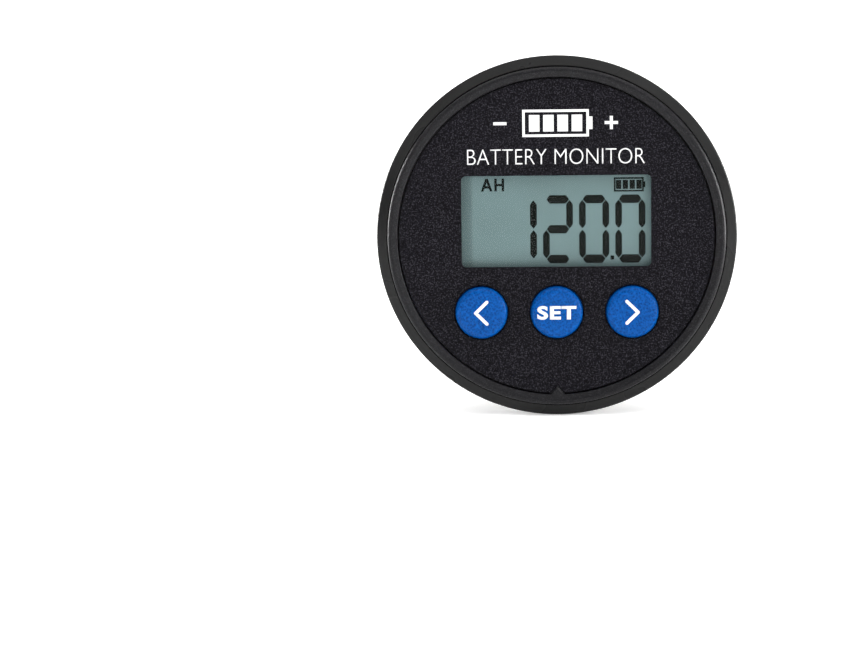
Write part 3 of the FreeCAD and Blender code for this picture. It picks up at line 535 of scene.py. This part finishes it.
def battery_outlines(centre, sizes):
    """A battery symbol: a frame of four strips, a terminal on the right, and its charge bars."""
    x, z = centre
    width, height = sizes["body"]
    stroke = sizes["stroke"]
    terminal = sizes["terminal"]
    side = (width - stroke) / 2
    end = (height - stroke) / 2
    outlines = [
        box_outline((x, z + end), width, stroke),
        box_outline((x, z - end), width, stroke),
        box_outline((x - side, z), stroke, height - 2 * stroke),
        box_outline((x + side, z), stroke, height - 2 * stroke),
        box_outline((x + (width + terminal[0]) / 2, z), *terminal),
    ]
    for i in range(BAR_COUNT):
        bar_x = x + (i - (BAR_COUNT - 1) / 2) * sizes["pitch"]
        outlines.append(box_outline((bar_x, z), *sizes["bar"]))
    return outlines


def cross_outline(centre, arm, stroke):
    x, z = centre
    a = arm / 2
    b = stroke / 2
    corners = [(a, -b), (a, b), (b, b), (b, a), (-b, a), (-b, b),
               (-a, b), (-a, -b), (-b, -b), (-b, -a), (b, -a), (b, -b)]
    return [(x + u, z + v) for u, v in corners]


# What is printed on the face plate

TITLE_Z = 13.3 * MM
TITLE_SIZE = (29.4 * MM, 2.57 * MM)
PICTOGRAM_Z = 18.8 * MM
SIGN_X = 9.2 * MM
SIGN_ARM = 2.2 * MM
SIGN_STROKE = 0.5 * MM


def print_face():
    """The title, and a plain battery pictogram between a minus and a plus sign."""
    y = print_front(FACE_FRONT)
    lettering("title_print", "BATTERY MONITOR", (0, TITLE_Z), TITLE_SIZE, y, "head", weight=-0.016)
    outlines = battery_outlines((0, PICTOGRAM_Z), SYMBOL)
    outlines.append(box_outline((-SIGN_X, PICTOGRAM_Z), SIGN_ARM, SIGN_STROKE))
    outlines.append(cross_outline((SIGN_X, PICTOGRAM_Z), SIGN_ARM, SIGN_STROKE))
    mesh = flat_mesh("pictogram_print", outlines, y)
    new_piece("pictogram_print", mesh, WHITE_INK, "head")


# What the display shows

DIGIT_PITCH = 6.02 * MM
DIGIT_SPAN = 3.89 * MM
DIGIT_RISE = 4.98 * MM
DIGITS_Z = WINDOW_Z - 1.46 * MM
LAST_DIGIT_X = WINDOW_X + 12.33 * MM
POINT_SIZE = (0.6 * MM, 0.68 * MM)
POINT_LIFT = 0.18 * MM
# A quarter of each kind of segment, as (along, across) in mm from its middle, from tip to side.
FLAT_SEGMENT = [(1.86, 0), (1.76, 0.17), (1.34, 0.70)]
TALL_SEGMENT = [(2.36, 0), (2.2, 0.15), (1.64, 0.56)]
# Each segment's place in its digit, in spans across and rises up, and whether it lies flat.
SEGMENT_PLACES = {
    "a": (0, 1, True), "b": (0.5, 0.5, False), "c": (0.5, -0.5, False), "d": (0, -1, True),
    "e": (-0.5, -0.5, False), "f": (-0.5, 0.5, False), "g": (0, 0, True),
}
LIT = {"0": "abcdef", "1": "bc", "2": "abged"}


def segment_outline(centre, flat):
    """A segment with pointed ends, lying across or standing up, from its quarter outline."""
    quarter = FLAT_SEGMENT if flat else TALL_SEGMENT
    sides = quarter[1:]
    tip = quarter[0][0]
    loop = list(quarter)
    loop += [(-u, v) for u, v in sides[::-1]]
    loop.append((-tip, 0))
    loop += [(-u, -v) for u, v in sides]
    loop += [(u, -v) for u, v in sides[::-1]]
    if not flat:
        loop = [(-v, u) for u, v in loop]
    return [(centre[0] + u * MM, centre[1] + v * MM) for u, v in loop]


UNIT_HEIGHT = 2.12 * MM
UNIT_STROKE = 0.4 * MM
UNIT_Z = WINDOW_Z + 6.0 * MM
UNIT_A_X = WINDOW_X - 11.55 * MM
UNIT_H_X = WINDOW_X - 9.45 * MM
A_WIDTH = 1.95 * MM
A_BAR_LIFT = 0.5 * MM
SLOPING_FOOT = 1.12 * UNIT_STROKE
H_WIDTH = 1.62 * MM
ICON_PLACE = (WINDOW_X + 12.1 * MM, WINDOW_Z + 5.91 * MM)


def letter_a(x, z):
    """A capital A from two legs that meet at the top and a bar between them."""
    low = z - UNIT_HEIGHT / 2
    half = A_WIDTH / 2
    lean = (half - UNIT_STROKE / 2) / UNIT_HEIGHT
    fork = low + (half - SLOPING_FOOT) / lean
    outlines = []
    for side in (-1, 1):
        leg = [(-half, low), (SLOPING_FOOT - half, low), (0, fork), (0, low + UNIT_HEIGHT),
               (-UNIT_STROKE / 2, low + UNIT_HEIGHT)]
        leg = [(x - side * u, v) for u, v in leg]
        outlines.append(leg if side < 0 else leg[::-1])
    bar = []
    for level in (low + A_BAR_LIFT, low + A_BAR_LIFT + UNIT_STROKE):
        reach = half - SLOPING_FOOT - (level - low) * lean
        bar += [(x - reach, level), (x + reach, level)]
    outlines.append([bar[0], bar[1], bar[3], bar[2]])
    return outlines


def letter_h(x, z):
    side = (H_WIDTH - UNIT_STROKE) / 2
    return [
        box_outline((x - side, z), UNIT_STROKE, UNIT_HEIGHT),
        box_outline((x + side, z), UNIT_STROKE, UNIT_HEIGHT),
        box_outline((x, z), H_WIDTH - 2 * UNIT_STROKE, UNIT_STROKE),
    ]


def digit_outlines(shown):
    """The lit segments of a row of digits, with the point before the last one."""
    outlines = []
    for i, digit in enumerate(reversed(shown)):
        for name in LIT[digit]:
            across, up, flat = SEGMENT_PLACES[name]
            place = (LAST_DIGIT_X - i * DIGIT_PITCH + across * DIGIT_SPAN, DIGITS_Z + up * DIGIT_RISE)
            outlines.append(segment_outline(place, flat))
    point = (LAST_DIGIT_X - DIGIT_PITCH / 2, DIGITS_Z - DIGIT_RISE + POINT_LIFT)
    outlines.append(box_outline(point, *POINT_SIZE))
    return outlines


def show_reading():
    """The digits, the unit and the battery icon, printed on the front polariser."""
    for name, outlines in (
        ("display_digits", digit_outlines("1200")),
        ("display_battery_icon", battery_outlines(ICON_PLACE, ICON)),
        ("display_unit", letter_a(UNIT_A_X, UNIT_Z) + letter_h(UNIT_H_X, UNIT_Z)),
    ):
        mesh = flat_mesh(name, outlines, print_front(FILM_FRONT))
        new_piece(name, mesh, SEGMENT_INK, "head")


# What is printed on the buttons

SET_SIZE = (6.5 * MM, 2.3 * MM)
CHEVRON = (1.85 * MM, 3.62 * MM, 0.54 * MM)


def print_buttons():
    for side in ("left", "set", "right"):
        low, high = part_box(f"{side}_button")
        centre = ((low.x + high.x) / 2, (low.z + high.z) / 2)
        y = print_front(low.y)
        name = f"{side}_legend"
        body = f"{side}_button"
        if side == "set":
            lettering(name, "SET", centre, SET_SIZE, y, body, weight=0.038, spacing=1.1)
        else:
            outline = chevron_outline(centre, *CHEVRON)
            if side == "right":
                outline = mirrored(outline, centre[0])
            new_piece(name, flat_mesh(name, [outline], y), WHITE_INK, body)


# The floor, the lights and the camera

FLOOR_Z = cad_box[0].z - 0.05 * MM
# In metres. The floor bends up into the wall behind y = back.
BACKDROP = {"half_width": 2.5, "front": -2.0, "back": 1.2, "bend": 0.6, "top": 2.2}
BEND_STEPS = 24


def backdrop_paper():
    """Matt white paper. A little emission keeps it white where the lights barely reach."""
    s = Shader("backdrop_paper")
    fibre = s.noise(0.8 * MM, detail=4)
    paper = s.node("BsdfPrincipled", {
        "Base Color": s.between(fibre, (0.88, 0.88, 0.88), (0.92, 0.92, 0.92)),
        "Roughness": 0.9,
        "Specular IOR Level": 0.1,
        "Emission Color": (1, 1, 1, 1),
        "Emission Strength": 0.35,
    })
    return s.finish(paper.outputs["BSDF"])


def make_backdrop():
    """A pale sheet that is the floor and curves up into the backdrop, with no seam."""
    profile = [(BACKDROP["front"], FLOOR_Z)]
    for i in range(BEND_STEPS + 1):
        angle = math.pi / 2 * i / BEND_STEPS
        y = BACKDROP["back"] + BACKDROP["bend"] * math.sin(angle)
        z = FLOOR_Z + BACKDROP["bend"] * (1 - math.cos(angle))
        profile.append((y, z))
    profile.append((BACKDROP["back"] + BACKDROP["bend"], FLOOR_Z + BACKDROP["top"]))
    bm = bmesh.new()
    rows = []
    for y, z in profile:
        rows.append([bm.verts.new((side * BACKDROP["half_width"], y, z)) for side in (-1, 1)])
    for near, far in zip(rows, rows[1:]):
        bm.faces.new((near[0], near[1], far[1], far[0])).smooth = True
    mesh = bpy.data.meshes.new("backdrop")
    bm.to_mesh(mesh)
    bm.free()
    mesh.materials.append(backdrop_paper())
    backdrop = bpy.data.objects.new("backdrop", mesh)
    bpy.context.scene.collection.objects.link(backdrop)


def soft_box(name, azimuth, elevation, distance, size, radiance, aim=(0, 0, 0)):
    """A soft light that faces the aim, in degrees and metres.

    Azimuth 0 is in front of the face, and 90 on its right as the camera sees it.
    """
    side = math.radians(azimuth)
    rise = math.radians(elevation)
    flat = distance * math.cos(rise)
    place = Vector((flat * math.sin(side), -flat * math.cos(side), distance * math.sin(rise)))
    light = bpy.data.lights.new(name, "AREA")
    light.shape = "RECTANGLE"
    light.size, light.size_y = size
    light.energy = radiance * math.pi * size[0] * size[1]
    lamp = bpy.data.objects.new(name, light)
    lamp.location = place
    lamp.rotation_mode = "QUATERNION"
    lamp.rotation_quaternion = (Vector(aim) - place).to_track_quat("-Z", "Y")
    lamp.visible_camera = False
    bpy.context.scene.collection.objects.link(lamp)


def make_lights():
    """Soft boxes over the object, and strips beside it that catch the front ring's edge."""
    soft_box("right_softbox", 62, 36, 0.9, (0.5, 0.5), 1.6)
    soft_box("left_softbox", -53, 30, 0.9, (0.5, 0.5), 1.4)
    soft_box("right_strip", 80, 3, 0.8, (0.1, 0.6), 30.0)
    soft_box("right_rim_strip", 98, 3, 0.8, (0.1, 0.6), 56.0)
    soft_box("left_rim_strip", -115, 3, 0.8, (0.1, 0.5), 100.0)
    soft_box("left_front_strip", -40, 6, 0.9, (0.05, 0.5), 8.0)
    soft_box("right_front_strip", 30, 6, 0.9, (0.04, 0.5), 30.0)
    soft_box("front_softbox", 12, 28, 1.0, (0.7, 0.5), 1.0)
    soft_box("top_softbox", 0, 80, 1.1, (1.5, 1.5), 1.8)
    soft_box("backdrop_light", 180, 50, 2.0, (2.5, 1.0), 5.0, aim=(0, 1.8, 1.0))


ROOM_FILL = 0.15


def make_world():
    """White where the camera sees past the backdrop, and a dim even fill for everything else."""
    world = bpy.data.worlds.new("studio")
    world.use_nodes = True
    nodes = world.node_tree.nodes
    links = world.node_tree.links
    nodes.clear()
    seen = nodes.new("ShaderNodeBackground")
    seen.inputs["Color"].default_value = (1, 1, 1, 1)
    fill = nodes.new("ShaderNodeBackground")
    fill.inputs["Color"].default_value = (ROOM_FILL, ROOM_FILL, ROOM_FILL, 1)
    rays = nodes.new("ShaderNodeLightPath")
    mix = nodes.new("ShaderNodeMixShader")
    output = nodes.new("ShaderNodeOutputWorld")
    links.new(rays.outputs["Is Camera Ray"], mix.inputs[0])
    links.new(fill.outputs[0], mix.inputs[1])
    links.new(seen.outputs[0], mix.inputs[2])
    links.new(mix.outputs[0], output.inputs["Surface"])
    bpy.context.scene.world = world


CAMERA = {
    "lens": 105, "distance": 0.4115, "elevation": 4.0, "roll": -0.7,
    "object_right": 21.9 * MM, "object_up": 14.26 * MM,
}


def make_camera():
    """A long lens a little above the axis. The object sits right of and above the middle."""
    camera = bpy.data.cameras.new("camera")
    camera.lens = CAMERA["lens"]
    camera.sensor_width = 36
    camera.clip_start = 0.01
    camera.clip_end = 20
    eye = bpy.data.objects.new("camera", camera)
    rise = math.radians(CAMERA["elevation"])
    back = Vector((0, -math.cos(rise), math.sin(rise)))
    up = Vector((0, math.sin(rise), math.cos(rise)))
    middle = Vector((0, cad_box[0].y, 0))
    aim = middle - Vector((CAMERA["object_right"], 0, 0)) - up * CAMERA["object_up"]
    eye.location = middle + back * CAMERA["distance"]
    eye.rotation_mode = "QUATERNION"
    roll = Quaternion((0, 0, 1), math.radians(CAMERA["roll"]))
    eye.rotation_quaternion = (aim - eye.location).to_track_quat("-Z", "Y") @ roll
    bpy.context.scene.collection.objects.link(eye)
    bpy.context.scene.camera = eye


finish_cad_nodes()
print_face()
show_reading()
print_buttons()
make_backdrop()
make_lights()
make_world()
make_camera()
bpy.context.scene.view_settings.view_transform = "Standard"
